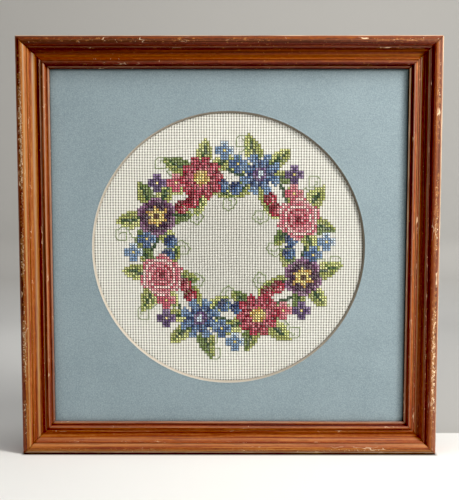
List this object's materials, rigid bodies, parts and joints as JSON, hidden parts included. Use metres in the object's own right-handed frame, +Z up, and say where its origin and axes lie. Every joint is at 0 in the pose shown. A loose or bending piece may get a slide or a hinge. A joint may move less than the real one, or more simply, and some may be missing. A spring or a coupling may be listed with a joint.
{
  "type": "framed cross stitch sampler",
  "caption": "Square stained wood frame with a round blue-grey window mat over cream Aida cloth, cross stitched with a ring of flowers and leaves.",
  "frame": {"origin": "middle of the frame's underside, half way through its depth", "axes": "+Z up, the face towards -Y, +X to the right of someone who looks at the face"},
  "size_m": [0.284, 0.022, 0.284],
  "materials": {
    "stained_wood": "red-brown stain under satin varnish, worn pale along the edges",
    "mat_card": "matt blue-grey paper face, tan core at the cut",
    "aida_cloth": "matt cream cotton, block weave with a hole at each corner",
    "stranded_floss": "stranded cotton in many colours, with a soft sheen",
    "hardboard": "plain brown board",
    "point_steel": "bright steel, slightly dulled"
  },
  "bodies": {
    "root": {"frame_rail_top": "stained_wood", "frame_rail_bottom": "stained_wood", "frame_rail_left": "stained_wood", "frame_rail_right": "stained_wood", "mat_board": "mat_card", "stitched_cloth": "aida_cloth", "backing_board": "hardboard", "framer_point_1": "point_steel", "framer_point_2": "point_steel", "framer_point_3": "point_steel", "framer_point_4": "point_steel", "framer_point_5": "point_steel", "framer_point_6": "point_steel", "framer_point_7": "point_steel", "framer_point_8": "point_steel"}
  },
  "joints": []
}
